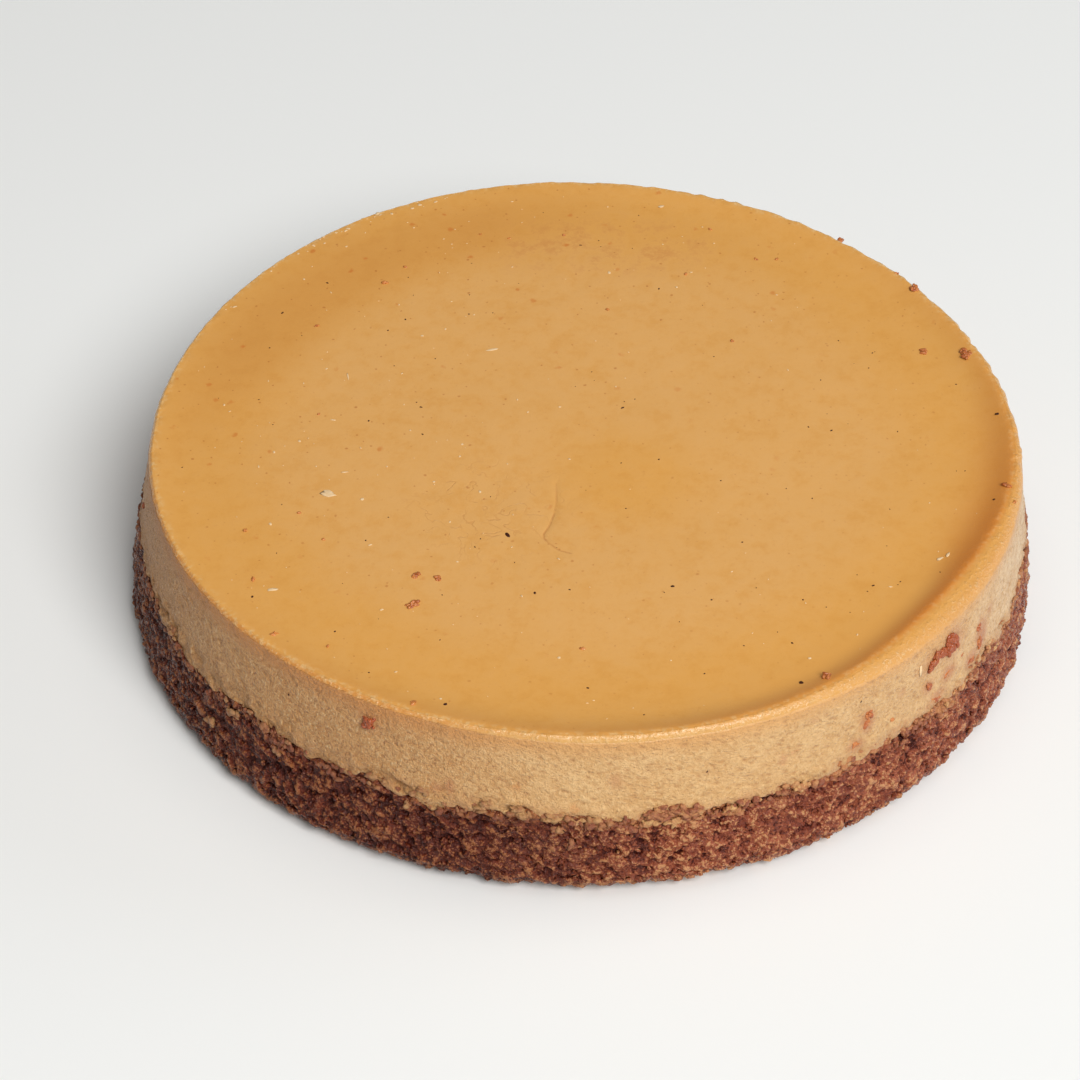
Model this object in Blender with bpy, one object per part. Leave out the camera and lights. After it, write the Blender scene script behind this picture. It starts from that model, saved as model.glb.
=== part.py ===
"""Chocoflan: a disc of baked caramel flan on a disc of chocolate sponge, turned out of its round tin.

The tin stood the other way up, so its floor made the flan's smooth, dished top with a raised rim,
its sloping wall made the side, and the sponge's own domed crust is the underside that the cake
stands on. Both layers run right through. Metres, +Z up; the origin is on the surface that the
cake rests on, under its middle. Angles go round +Z from +X; the front faces -Y.
"""

import math

import bmesh
import bpy

# Driving dimensions.
HEIGHT = 0.0445              # resting surface to the crest of the flan's rim
SEAM_HEIGHT = 0.0227         # flan to sponge, at the side
RIM_RADIUS = 0.1046          # the side carried up to the crest's height
BELLY_RADIUS = 0.1104        # widest ring of the sponge
BELLY_HEIGHT = 0.0056
BELLY_ROUNDING = 0.0040
BELLY_TURN_END = math.radians(-80)   # where the belly's rounding passes into the crust
FOOT_RADIUS = 0.0780         # flat spot of the domed crust, which carries the cake
CRUST_LIFT = 0.0016          # how far the crust has risen off the surface at its edge

DISH_DEPTH = 0.0015          # mean drop from the rim's crest to the flan's top
DISH_SWING = 0.0013          # the dish is this much deeper on one side and shallower on the other
SHOULDER_WIDTH = 0.0050      # how far in from the crest the dish takes to level out
SHOULDER_POWER = 1.4         # above 1, so that the dish leaves the crest without a kink

# The rim is a tight rounding, except on one side, where it slumped into a broad roll.
RIM_WIDTH = 0.0016
RIM_DROP = 0.0016
ROLL_WIDTH = 0.0044
ROLL_DROP = 0.0012
ROLL_MIDDLE = math.radians(325)
ROLL_SPREAD = math.radians(22)

SEAM_ROUNDING = 0.0008       # where each layer's side turns in to the seam
LAYER_GAP = 0.0003           # between the two layers, which touch in the real cake

# Waves round the cake: how many, how high, and the angle of the first crest in degrees.
SEAM_WAVES = ((2, 0.00053, 4), (7, 0.00028, 38), (9, 0.00046, 29), (17, 0.00044, 11), (21, 0.00042, 3))
RIM_WAVES = ((1, 0.00056, 325), (2, 0.00060, 123), (3, 0.00052, 99), (4, 0.00015, 10), (5, 0.00012, 48))

AROUND = 108                 # facets round the cake
ROUNDING_STEPS = 4
SIDE_STEPS = 4

# Where the rings of the level surfaces lie, as shares of the radius.
DISH_RINGS = (0.22, 0.44, 0.62, 0.76, 0.86, 0.91, 0.94, 0.965, 0.983)
SEAM_RINGS = (0.50, 0.80, 0.93)
FOOT_RINGS = (0.5, 1.0)
CRUST_RINGS = (0.20, 0.45, 0.72)      # from the flat foot to the belly's rounding

SHARP_EDGE = math.radians(40)

FLAN_COLOUR = (0.680, 0.345, 0.092)
SPONGE_COLOUR = (0.178, 0.060, 0.036)


def waves(terms, angle):
    """Sum of cosine waves round the cake."""
    return sum(size * math.cos(count * (angle - math.radians(crest))) for count, size, crest in terms)


def side_radius(height, angle):
    """The tin's straight, sloping wall, more out of round the nearer it is to the rim."""
    share = (height - BELLY_HEIGHT) / (HEIGHT - BELLY_HEIGHT)
    taper = BELLY_RADIUS + (RIM_RADIUS - BELLY_RADIUS) * share
    return taper + waves(RIM_WAVES, angle) * share


def wall_tilt():
    """How far the side's normal points above the horizontal."""
    return math.atan2(BELLY_RADIUS - RIM_RADIUS, HEIGHT - BELLY_HEIGHT)


def roll(angle):
    """How much of the broad roll the rim has at an angle, from 0 to 1."""
    away = (angle - ROLL_MIDDLE + math.pi) % (2.0 * math.pi) - math.pi
    return math.exp(-((away / ROLL_SPREAD) ** 2))


def rim_width(angle):
    return RIM_WIDTH + ROLL_WIDTH * roll(angle)


def rim_drop(angle):
    return RIM_DROP + ROLL_DROP * roll(angle)


def crest_radius(angle):
    """Where the rim is highest, as far in from the side as the rim's rounding is wide."""
    return side_radius(HEIGHT - rim_drop(angle), angle) - rim_width(angle)


def dish_height(share, angle):
    """The flan's top at a share of the crest's radius: level, then up a rounded shoulder."""
    in_from_crest = (1.0 - share) * crest_radius(angle)
    sunk = 1.0 - math.exp(-((in_from_crest / SHOULDER_WIDTH) ** SHOULDER_POWER))
    depth = DISH_DEPTH + DISH_SWING * share * math.cos(angle - ROLL_MIDDLE)
    return HEIGHT - depth * sunk


def seam_height(share, angle):
    """The layers' meeting surface: wavy at the side, and calmer towards the middle."""
    return SEAM_HEIGHT + waves(SEAM_WAVES, angle) * share**2


def seam_rounding(angle):
    return SEAM_ROUNDING


def belly_rounding(angle):
    return BELLY_ROUNDING


def ring(radius_of, height_of):
    """One ring of points, as radius and height functions of the angle."""
    angles = [2.0 * math.pi * step / AROUND for step in range(AROUND)]
    return [
        (radius_of(a) * math.cos(a), radius_of(a) * math.sin(a), height_of(a)) for a in angles
    ]


def rounded_edge(centre_radius, centre_height, width, drop, start, end):
    """Rings along part of an ellipse in the cake's cross-section, from a start to an end angle.

    The angle is measured from outward to up; width and drop are functions of the way round.
    """
    rings = []
    for step in range(ROUNDING_STEPS + 1):
        turn = start + (end - start) * step / ROUNDING_STEPS
        rings.append(
            ring(
                lambda a, out=math.cos(turn): centre_radius(a) + width(a) * out,
                lambda a, up=math.sin(turn): centre_height(a) + drop(a) * up,
            )
        )
    return rings


def side_rings(low, high, steps):
    """Rings down the sloping side between two height functions, leaving out both ends."""
    rings = []
    for step in range(1, steps):
        share = step / steps

        def height_of(a, share=share):
            return high(a) + (low(a) - high(a)) * share

        rings.append(ring(lambda a, h=height_of: side_radius(h(a), a), height_of))
    return rings


def solid_of_rings(name, top_centre, rings, bottom_centre):
    """Closed body: a fan to the top centre, a band between each two rings, a fan below."""
    body = bmesh.new()
    loops = [[body.verts.new(point) for point in points] for points in rings]
    top = body.verts.new((0.0, 0.0, top_centre))
    bottom = body.verts.new((0.0, 0.0, bottom_centre))
    for step in range(AROUND):
        after = (step + 1) % AROUND
        body.faces.new((top, loops[0][step], loops[0][after]))
        for upper, lower in zip(loops, loops[1:]):
            body.faces.new((upper[step], lower[step], lower[after], upper[after]))
        body.faces.new((bottom, loops[-1][after], loops[-1][step]))
    bmesh.ops.triangulate(body, faces=body.faces[:])
    mesh = bpy.data.meshes.new(name)
    body.to_mesh(mesh)
    body.free()
    mesh.shade_smooth()
    mesh.set_sharp_from_angle(angle=SHARP_EDGE)
    piece = bpy.data.objects.new(name, mesh)
    bpy.context.scene.collection.objects.link(piece)
    return piece


def surface(name, colour, roughness):
    """Principled material, not metallic."""
    material = bpy.data.materials.new(name)
    material.use_nodes = True
    shader = material.node_tree.nodes["Principled BSDF"]
    shader.inputs["Base Color"].default_value = (*colour, 1.0)
    shader.inputs["Roughness"].default_value = roughness
    shader.inputs["Metallic"].default_value = 0.0
    return material


def make_flan():
    """The upper layer: dished top, rounded rim, sloping side and the wavy seam below."""
    rings = []
    for share in DISH_RINGS:
        rings.append(
            ring(
                lambda a, s=share: s * crest_radius(a),
                lambda a, s=share: dish_height(s, a),
            )
        )
    rings += rounded_edge(
        crest_radius,
        lambda a: HEIGHT - rim_drop(a),
        rim_width,
        rim_drop,
        math.radians(90),
        wall_tilt(),
    )

    def underside(a):
        return seam_height(1.0, a) + LAYER_GAP / 2

    def lip(a):
        return underside(a) + SEAM_ROUNDING

    rings += side_rings(lip, lambda a: HEIGHT - rim_drop(a), SIDE_STEPS)
    rings += rounded_edge(
        lambda a: side_radius(lip(a), a) - SEAM_ROUNDING,
        lip,
        seam_rounding,
        seam_rounding,
        wall_tilt(),
        math.radians(-90),
    )
    for share in reversed(SEAM_RINGS):
        rings.append(
            ring(
                lambda a, s=share: s * side_radius(SEAM_HEIGHT, a),
                lambda a, s=share: seam_height(s, a) + LAYER_GAP / 2,
            )
        )
    flan = solid_of_rings("flan", HEIGHT - DISH_DEPTH, rings, SEAM_HEIGHT + LAYER_GAP / 2)
    flan.data.materials.append(surface("caramel_flan", FLAN_COLOUR, 0.32))


def make_sponge():
    """The lower layer: the same wavy seam, sloping side, rounded belly and domed crust below."""
    rings = []
    for share in SEAM_RINGS:
        rings.append(
            ring(
                lambda a, s=share: s * side_radius(SEAM_HEIGHT, a),
                lambda a, s=share: seam_height(s, a) - LAYER_GAP / 2,
            )
        )

    def shoulder(a):
        return seam_height(1.0, a) - LAYER_GAP / 2 - SEAM_ROUNDING

    rings += rounded_edge(
        lambda a: side_radius(shoulder(a), a) - SEAM_ROUNDING,
        shoulder,
        seam_rounding,
        seam_rounding,
        math.radians(90),
        wall_tilt(),
    )
    rings += side_rings(lambda a: BELLY_HEIGHT, shoulder, SIDE_STEPS)

    def belly_centre(a):
        return side_radius(BELLY_HEIGHT, a) - BELLY_ROUNDING

    rings += rounded_edge(
        belly_centre,
        lambda a: BELLY_HEIGHT,
        belly_rounding,
        belly_rounding,
        wall_tilt(),
        BELLY_TURN_END,
    )
    for share in reversed(CRUST_RINGS):
        rings.append(
            ring(
                lambda a, s=share: FOOT_RADIUS + (belly_centre(a) - FOOT_RADIUS) * s,
                lambda a, s=share: CRUST_LIFT * s**2,
            )
        )
    for share in reversed(FOOT_RINGS):
        rings.append(ring(lambda a, s=share: FOOT_RADIUS * s, lambda a: 0.0))
    sponge = solid_of_rings("chocolate_sponge", SEAM_HEIGHT - LAYER_GAP / 2, rings, 0.0)
    sponge.data.materials.append(surface("chocolate_sponge", SPONGE_COLOUR, 0.85))


for old in list(bpy.data.objects):
    bpy.data.objects.remove(old)
make_sponge()
make_flan()
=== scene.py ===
"""Chocoflan: a disc of caramel flan on a disc of chocolate sponge, turned out of its round tin.

All sizes are in millimetres, and a mesh is stored in metres. +Z is up, and the origin is on the
resting surface under the cake's middle. Angles go round +Z from +X, and the front faces -Y.
"""

import math

import bpy
import numpy as np
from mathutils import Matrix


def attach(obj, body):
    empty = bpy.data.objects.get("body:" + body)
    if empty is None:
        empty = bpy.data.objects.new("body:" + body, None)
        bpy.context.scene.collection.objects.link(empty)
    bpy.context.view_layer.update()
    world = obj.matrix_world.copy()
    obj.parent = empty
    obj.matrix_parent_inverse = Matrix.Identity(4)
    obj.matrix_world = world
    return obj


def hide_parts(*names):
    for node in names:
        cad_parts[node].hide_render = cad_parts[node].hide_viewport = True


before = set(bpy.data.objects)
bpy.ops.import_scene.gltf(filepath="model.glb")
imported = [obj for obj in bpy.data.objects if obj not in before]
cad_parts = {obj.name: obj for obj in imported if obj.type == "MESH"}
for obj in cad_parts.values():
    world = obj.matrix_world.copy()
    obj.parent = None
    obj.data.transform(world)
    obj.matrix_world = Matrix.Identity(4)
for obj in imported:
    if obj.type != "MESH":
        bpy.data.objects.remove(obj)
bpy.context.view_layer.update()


# --- Chocolate sponge --------------------------------------------------------------------------
# The lower layer is a disc of moist chocolate sponge, baked in a round tin. Its side tore free
# of the tin's wall and shows the open crumb, full of pores; its domed crust is the underside.

METRE = 1000.0
HEIGHT = 44.5                # resting surface to the crest of the flan's rim
SEAM_HEIGHT = 22.7           # sponge to flan, at the side
RIM_RADIUS = 104.6           # the tin's sloping wall, at the crest's height
BELLY_RADIUS = 110.4         # and at the sponge's widest ring
BELLY_HEIGHT = 5.6
BELLY_ROUNDING = 4.0
BELLY_TURN_END = math.radians(-80)
FOOT_RADIUS = 78.0           # flat spot of the domed crust
CRUST_LIFT = 1.6             # how far the crust has risen at its edge
SEAM_WAVES = ((2, 0.53, 4), (7, 0.28, 38), (9, 0.46, 29), (17, 0.44, 11), (21, 0.42, 3))
RIM_WAVES = ((1, 0.56, 325), (2, 0.60, 123), (3, 0.52, 99), (4, 0.15, 10), (5, 0.12, 48))
TUCK = 1.6                   # how far in the sponge's top edge is hidden, inside the flan
TOP_RISE = 1.0               # how far above the seam the hidden top lies,
TUCK_RISE = 1.3              # its edge,
SIDE_RISE = 0.8              # and the first ring of the side, under the flan's lip
LUMP_SIZE = 3.3              # the open crumb's lumps, pores and finest grains
PORE_SIZE = 1.75
GRAIN_SIZE = 0.85
CRACK_ANGLE = math.radians(291.5 - 360)  # where the sponge has parted from the flan above it
CRACK_HEIGHT = 21.8
CRACK_LENGTH = 7.0
CRACK_WIDTH = 0.9


def waves(terms, angle):
    """Sum of size * cos(count * (angle - crest)) over (count, size, crest in degrees)."""
    return sum(size * np.cos(count * (angle - math.radians(crest))) for count, size, crest in terms)


def side_radius(height, angle):
    """Straight line from the belly's radius up to the rim's, plus the rim's waves times the share
    of the way up."""
    share = (height - BELLY_HEIGHT) / (HEIGHT - BELLY_HEIGHT)
    return BELLY_RADIUS + (RIM_RADIUS - BELLY_RADIUS) * share + waves(RIM_WAVES, angle) * share


def seam_height(share, angle):
    """Mean height plus the seam's waves times the square of the share of the radius."""
    return SEAM_HEIGHT + waves(SEAM_WAVES, angle) * share**2


def rings_of(radii, heights, angles):
    """Grid of rings: (radius * cos(angle), radius * sin(angle), height), one row for each ring."""
    across, deep, high = np.broadcast_arrays(radii * np.cos(angles), radii * np.sin(angles), heights)
    return np.stack([across, deep, high], axis=-1)


def grid_faces(count, around):
    """Triangles of a closed skin: a fan from the top point, two triangles in each cell between
    neighbouring rings, and a fan to the bottom point. The two points follow the rings' own."""
    here = np.arange(count * around).reshape(count, around)
    after = np.roll(here, -1, axis=1)
    top = np.full(around, count * around)
    bottom = top + 1
    return np.concatenate(
        [
            np.stack([top, here[0], after[0]], axis=-1),
            np.stack([here[:-1], here[1:], after[1:]], axis=-1).reshape(-1, 3),
            np.stack([here[:-1], after[1:], after[:-1]], axis=-1).reshape(-1, 3),
            np.stack([bottom, after[-1], here[-1]], axis=-1),
        ]
    )


def grid_normals(rings):
    """Step down the grid crossed with the step round it, made one long; then straight up and
    straight down for the two end points."""
    down = np.gradient(rings, axis=0)
    onward = np.roll(rings, -1, axis=1) - np.roll(rings, 1, axis=1)
    normals = np.cross(down, onward).reshape(-1, 3)
    normals = normals / np.linalg.norm(normals, axis=1, keepdims=True)
    return np.vstack([normals, [0.0, 0.0, 1.0], [0.0, 0.0, -1.0]])


def grid_points(rings, top, bottom):
    """The rings' points in one list, followed by the top and the bottom point on the axis."""
    return np.vstack([rings.reshape(-1, 3), [0.0, 0.0, top], [0.0, 0.0, bottom]])


def mesh_piece(name, points, faces):
    """Smooth-shaded piece from an array of points and an array of triangles."""
    mesh = bpy.data.meshes.new(name)
    mesh.vertices.add(len(points))
    mesh.vertices.foreach_set("co", (points / METRE).astype(np.float32).ravel())
    mesh.loops.add(faces.size)
    mesh.loops.foreach_set("vertex_index", faces.astype(np.int32).ravel())
    mesh.polygons.add(len(faces))
    mesh.polygons.foreach_set("loop_start", np.arange(0, faces.size, 3, dtype=np.int32))
    mesh.update(calc_edges=True)
    mesh.shade_smooth()
    piece = bpy.data.objects.new(name, mesh)
    bpy.context.scene.collection.objects.link(piece)
    return piece


def paint(piece, name, values):
    """Stores numbers for the material to read, one for each point. Where there are fewer numbers
    than points, each is repeated for an equal run of points."""
    attribute = piece.data.attributes.new(name, "FLOAT", "POINT")
    each = np.repeat(values, len(piece.data.vertices) // len(values))
    attribute.data.foreach_set("value", each.astype(np.float32))


def scatter(cells, salt):
    """Random number from 0 to 1 for each whole-numbered cell: its indices times large primes,
    joined by exclusive or, then folded and multiplied twice."""
    mixed = (cells[..., 0] * 73856093) ^ (cells[..., 1] * 19349663) ^ (cells[..., 2] * 83492791)
    mixed = (mixed ^ (salt * 2654435761)) & 0x7FFFFFFF
    mixed = ((mixed ^ (mixed >> 15)) * 739982445) & 0x7FFFFFFF
    mixed = ((mixed ^ (mixed >> 12)) * 695872825) & 0x7FFFFFFF
    return ((mixed ^ (mixed >> 15)) & 0xFFFFFF) / 0x1000000


def swell(points, size, salt):
    """Smooth random field from -1 to 1: the numbers at the eight corners of each point's cell,
    weighted by 3t^2 - 2t^3 of the way between them."""
    scaled = np.asarray(points) / size
    cell = np.floor(scaled).astype(np.int64)
    share = scaled - cell
    share = share * share * (3.0 - 2.0 * share)
    total = 0.0
    for corner in np.ndindex(2, 2, 2):
        weight = np.where(np.array(corner) == 1, share, 1.0 - share).prod(axis=-1)
        total = total + weight * scatter(cell + np.array(corner), salt)
    return 2.0 * total - 1.0


def crumb_cells(points, size, salt):
    """For one random centre in each cell: the distance to the nearest, in cell sizes, and that
    centre's own random number."""
    scaled = np.asarray(points) / size
    cell = np.floor(scaled).astype(np.int64)
    nearest = np.full(scaled.shape[:-1], 9.0)
    number = np.zeros(scaled.shape[:-1])
    for corner in np.ndindex(3, 3, 3):
        other = cell + np.array(corner) - 1
        centre = other + np.stack([scatter(other, salt + axis) for axis in range(3)], axis=-1)
        distance = np.linalg.norm(centre - scaled, axis=-1)
        closer = distance < nearest
        nearest = np.where(closer, distance, nearest)
        number = np.where(closer, scatter(other, salt + 3), number)
    return nearest, number


def eased(value, low, high):
    """3t^2 - 2t^3, where t is the value's share of the way from low to high, kept in 0 to 1."""
    share = np.clip((value - low) / (high - low), 0.0, 1.0)
    return share * share * (3.0 - 2.0 * share)


def bell(value):
    """exp(-value^2): 1 at zero, and smoothly down to 0 on both sides."""
    return np.exp(-(value**2))


class Wire:
    """Output socket of a material's node. Arithmetic on wires adds Math nodes."""

    def __init__(self, socket):
        self.socket = socket

    def node(self, kind, settings, values, output=0):
        """Adds a node, sets its settings, then its inputs by name or place, and gives an output."""
        made = self.socket.id_data.nodes.new(kind)
        for name, value in settings.items():
            setattr(made, name, value)
        for key, value in values.items():
            if isinstance(value, Wire):
                value.into(made, key)
            else:
                made.inputs[key].default_value = value
        return Wire(made.outputs[output])

    def into(self, node, name):
        """Links this wire to a node's input."""
        self.socket.id_data.links.new(self.socket, node.inputs[name])

    def maths(self, operation, *values):
        """An operation on numbers or wires, by a Math node."""
        return self.node("ShaderNodeMath", {"operation": operation}, dict(enumerate(values)))

    def __add__(self, other):
        return self.maths("ADD", self, other)

    __radd__ = __add__

    def __sub__(self, other):
        return self.maths("SUBTRACT", self, other)

    def __rsub__(self, other):
        return self.maths("SUBTRACT", other, self)

    def __mul__(self, other):
        return self.maths("MULTIPLY", self, other)

    __rmul__ = __mul__

    def __truediv__(self, other):
        return self.maths("DIVIDE", self, other)

    def __pow__(self, other):
        return self.maths("POWER", self, other)

    def rise(self, low, high):
        """Eased from 0 at low to 1 at high, whichever of the two is the greater."""
        settings = {"interpolation_type": "SMOOTHSTEP"}
        return self.node("ShaderNodeMapRange", settings, {0: self, 1: low, 2: high, 3: 0.0, 4: 1.0})

    def noise(self, size, detail=2.0, roughness=0.5):
        """Cloudy noise from 0 to 1 on this position, with features of a size."""
        values = {"Vector": self, "Scale": 1.0 / size, "Detail": detail, "Roughness": roughness}
        return self.node("ShaderNodeTexNoise", {}, values)

    def cells(self, size, output=0):
        """Distance to the nearest scattered centre, or with output 1 the centre's own colour."""
        return self.node("ShaderNodeTexVoronoi", {}, {"Vector": self, "Scale": 1.0 / size}, output)

    def axis(self, number):
        """This position's part along x, y or z, numbered 0, 1 and 2."""
        return self.node("ShaderNodeSeparateXYZ", {}, {0: self}, number)

    def stretch(self, *scales):
        """This position with its axes multiplied, so that a pattern on it is drawn out."""
        return self.node("ShaderNodeVectorMath", {"operation": "MULTIPLY"}, {0: self, 1: scales})

    def warped(self, size, amount):
        """This position pushed about by up to an amount, by cloudy noise of a size."""
        cloud = self.node("ShaderNodeTexNoise", {}, {"Vector": self, "Scale": 1.0 / size}, 1)
        values = {0: cloud, 1: (amount, amount, amount), 2: self}
        return self.node("ShaderNodeVectorMath", {"operation": "MULTIPLY_ADD"}, values)

    def colours(self, first, second):
        """Mixes two colours by this factor; each is three numbers or a wire."""
        values = {0: self}
        for key, colour in ((6, first), (7, second)):
            values[key] = colour if isinstance(colour, Wire) else (*colour, 1.0)
        return self.node("ShaderNodeMix", {"data_type": "RGBA"}, values, 2)

    def stored(self, name):
        """The number stored for each point under a name."""
        return self.node("ShaderNodeAttribute", {"attribute_name": name}, {}, 2)

    def bump(self, shader):
        """Feeds this height, in millimetres, to the shader's normal."""
        self.node("ShaderNodeBump", {}, {"Height": self, "Distance": 1.0 / METRE}).into(shader, "Normal")


def new_material(name, settings=()):
    """Material, its shader with some inputs set, and a wire of the place on the piece."""
    material = bpy.data.materials.new(name)
    material.use_nodes = True
    nodes = material.node_tree.nodes
    shader = nodes["Principled BSDF"]
    for key, value in dict(settings).items():
        shader.inputs[key].default_value = value
    place = Wire(nodes.new("ShaderNodeTexCoord").outputs["Object"])
    return material, shader, place.stretch(METRE, METRE, METRE)


SPONGE_AROUND = 1380
SPONGE_SIDE_STEPS = 40
BELLY_STEPS = 12
CRUST_STEPS = 9
SPONGE_TOP_SHARES = np.array([0.30, 0.60, 0.85, 0.95])[:, None]
FOOT_SHARES = np.array([0.75, 0.5, 0.25])[:, None]

angles = np.linspace(0.0, 2.0 * math.pi, SPONGE_AROUND, endpoint=False)[None, :]
seam = seam_height(1.0, angles)
wall_tilt = math.atan2(BELLY_RADIUS - RIM_RADIUS, HEIGHT - BELLY_HEIGHT)

top_radii = SPONGE_TOP_SHARES * (side_radius(seam, angles) - TUCK)
top_rings = rings_of(top_radii, seam_height(SPONGE_TOP_SHARES, angles) + TOP_RISE, angles)
tuck_ring = rings_of(side_radius(seam, angles) - TUCK, seam + TUCK_RISE, angles)
down = np.linspace(0.0, 1.0, SPONGE_SIDE_STEPS)[:, None]
side_heights = seam + SIDE_RISE + (BELLY_HEIGHT - seam - SIDE_RISE) * down
turned_in = 0.5 * (1.0 - eased(down, 0.0, 0.08))
side_rings = rings_of(side_radius(side_heights, angles) - turned_in, side_heights, angles)
belly_centre = side_radius(BELLY_HEIGHT, angles) - BELLY_ROUNDING
turns = np.linspace(wall_tilt, BELLY_TURN_END, BELLY_STEPS + 1)[1:, None]
belly_radii = belly_centre + BELLY_ROUNDING * np.cos(turns)
belly_rings = rings_of(belly_radii, BELLY_HEIGHT + BELLY_ROUNDING * np.sin(turns), angles)
outward = np.linspace(0.96, 0.0, CRUST_STEPS)[:, None]
crust_radii = FOOT_RADIUS + (belly_centre - FOOT_RADIUS) * outward
crust_rings = rings_of(crust_radii, CRUST_LIFT * outward**2, angles)
foot_rings = rings_of(FOOT_RADIUS * FOOT_SHARES, 0.0, angles)
rings = np.concatenate([top_rings, tuck_ring, side_rings, belly_rings, crust_rings, foot_rings])

points = grid_points(rings, SEAM_HEIGHT + TOP_RISE, 0.0)
normals = grid_normals(rings)
faces = grid_faces(*rings.shape[:2])

# The open crumb: irregular lumps, thin walls round small pores, roughness and a few ragged
# tears, with the crack below the flan. The hidden faces and the foot are almost smooth.
wander = np.stack([swell(points, 2.6, salt) for salt in (1, 2, 3)], axis=-1)
shifted = points + 1.1 * wander
lump_distance, lump_tone = crumb_cells(shifted * [1.0, 1.0, 1.25], LUMP_SIZE, 10)
pore_distance, pore_tone = crumb_cells(shifted * [1.0, 1.0, 1.3], PORE_SIZE, 20)
lumps = 1.0 - np.minimum(lump_distance, 1.0) ** 2
walls = eased(pore_distance, 0.15, 0.75)
rough = swell(points, 1.1, 43) + 0.6 * swell(points, 2.1, 44)
torn = swell(points * [1.0, 1.0, 1.6], 3.0, 41) + 0.7 * swell(points, 1.4, 42)
tears = eased(torn, 0.45, 1.0)
raised = 1.1 * (lumps - 0.6) + 1.2 * (walls - 0.6) * (0.4 + 0.6 * pore_tone) + 0.38 * rough - tears
around = np.arctan2(points[:, 1], points[:, 0])
opened = bell((around - CRACK_ANGLE) * BELLY_RADIUS / CRACK_LENGTH)
opened = opened * bell((points[:, 2] - CRACK_HEIGHT) / CRACK_WIDTH)
raised = raised - 2.2 * opened
relief = 0.45 * swell(points, 9.0, 40) + raised
from_axis = np.hypot(points[:, 0], points[:, 1])
on_side = eased(points[:, 2], 0.3, 3.0) * eased(from_axis, 100.0, 104.0)
points = points + normals * (relief * (0.12 + 0.88 * on_side))[:, None]
points[:, 2] = np.maximum(points[:, 2], 0.0)

sponge = mesh_piece("sponge_layer", points, faces)
# The relief is also stored for the material, which paints its low places dark, the tears and the crack among
# them, as painted shade.
paint(sponge, "raised", raised)
paint(sponge, "tone", 0.7 * lump_tone + 0.3 * pore_tone)
under_seam = seam_height(1.0, around) - points[:, 2] + 1.3 * swell(points, 4.0, 45)
paint(sponge, "mingled", eased(under_seam, 3.2, 0.0) * (from_axis > 100.0))

PORE_SHADE_COLOUR = (0.050, 0.0058, 0.0030)
DARK_CRUMB_COLOUR = (0.155, 0.027, 0.0125)
RED_CRUMB_COLOUR = (0.345, 0.089, 0.038)
TAN_CRUMB_COLOUR = (0.560, 0.265, 0.112)
MINGLED_COLOUR = (0.500, 0.215, 0.082)
DARK_SHADED_LEFT_COLOUR = (0.022, 0.0016, 0.0008)
RED_SHADED_LEFT_COLOUR = (0.135, 0.021, 0.0075)
TAN_SHADED_LEFT_COLOUR = (0.295, 0.099, 0.032)
CRUST_COLOUR = (0.210, 0.074, 0.030)


def left_side(x, y, low, high):
    """Cosine of the way round from the cake's front left, the side away from the lamp, eased from
    low to high."""
    return ((x * -0.77 + y * -0.64) / (x * x + y * y) ** 0.5).rise(low, high)


def layered(colour, *layers):
    """A colour with others laid over it in turn, each by its own amount from 0 to 1."""
    for amount, above in layers:
        colour = amount.colours(colour, above)
    return colour


def sponge_finish(name):
    """Moist crumb: painted shade in the hollows and between the grains, redder where it stands
    proud, tan on the highest walls and near the foot, custard-coloured under the seam, and in
    painted shade on the front left, away from the lamp; bumps of fine grains; patchy gloss."""
    settings = {"Specular IOR Level": 0.38, "Specular Tint": (1.0, 0.76, 0.70, 1.0)}
    material, shader, place = new_material(name, settings)
    height = place.axis(2)
    fine = place.noise(0.9, 3.0, 0.7)
    tiny = place.noise(0.36, 2.0, 0.6)
    grain_place = place.warped(1.4, 0.8)
    gap = grain_place.cells(GRAIN_SIZE)
    own = grain_place.cells(GRAIN_SIZE, 1).axis(0)
    patch = place.noise(5.0, 2.0, 0.6)
    proud = place.stored("raised") * 0.42 + fine * 1.10 + tiny * 0.95 - gap.rise(0.20, 0.70) * 0.26 - 0.33
    tone = proud * 0.7 + own * 0.22 + place.stored("tone") * 0.26 + patch * 0.9 - 0.63
    red = tone.rise(0.05, 0.75)
    low = height.rise(6.5, 1.5) * patch.rise(0.35, 0.6)
    right = (place.axis(0) * 0.009).rise(0.10, 0.75)
    tan = (proud + own * 0.2 + low * 0.25 + patch * 0.45 - right * 0.07).rise(0.95, 1.28)
    mingled = place.stored("mingled") * proud.rise(0.1, 0.7) * 0.8
    shaded_left = layered(DARK_SHADED_LEFT_COLOUR, (red, RED_SHADED_LEFT_COLOUR), (tan, TAN_SHADED_LEFT_COLOUR))
    crust = height.rise(1.6, 0.6)
    layered(
        DARK_CRUMB_COLOUR,
        (red, RED_CRUMB_COLOUR),
        (tan, TAN_CRUMB_COLOUR),
        (mingled, MINGLED_COLOUR),
        # painted shade: the front left, away from the lamp, is laid over with darker crumb colours
        (left_side(place.axis(0), place.axis(1), 0.45, 0.85) * 0.95, shaded_left),
        (crust, CRUST_COLOUR),
        # painted shade: the lowest places and the gaps between grains go dark
        (proud.rise(0.52, 0.12) * (1.0 - crust * 0.7), PORE_SHADE_COLOUR),
    ).into(shader, "Base Color")
    (0.02 + 0.32 * fine).into(shader, "Roughness")
    (gap * -0.40 + fine * 0.60 + tiny * 0.22).bump(shader)
    return material


sponge_material = sponge_finish("chocolate_sponge")
sponge.data.materials.append(sponge_material)
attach(sponge, "root")
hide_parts("chocolate_sponge")


# --- Grains on the sponge's side ---------------------------------------------------------------
# Loose grains of the same sponge, torn up as the cake slid out of the tin and still clinging to
# its side by their own moisture. Each is a small lump pressed part of the way in.

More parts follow.
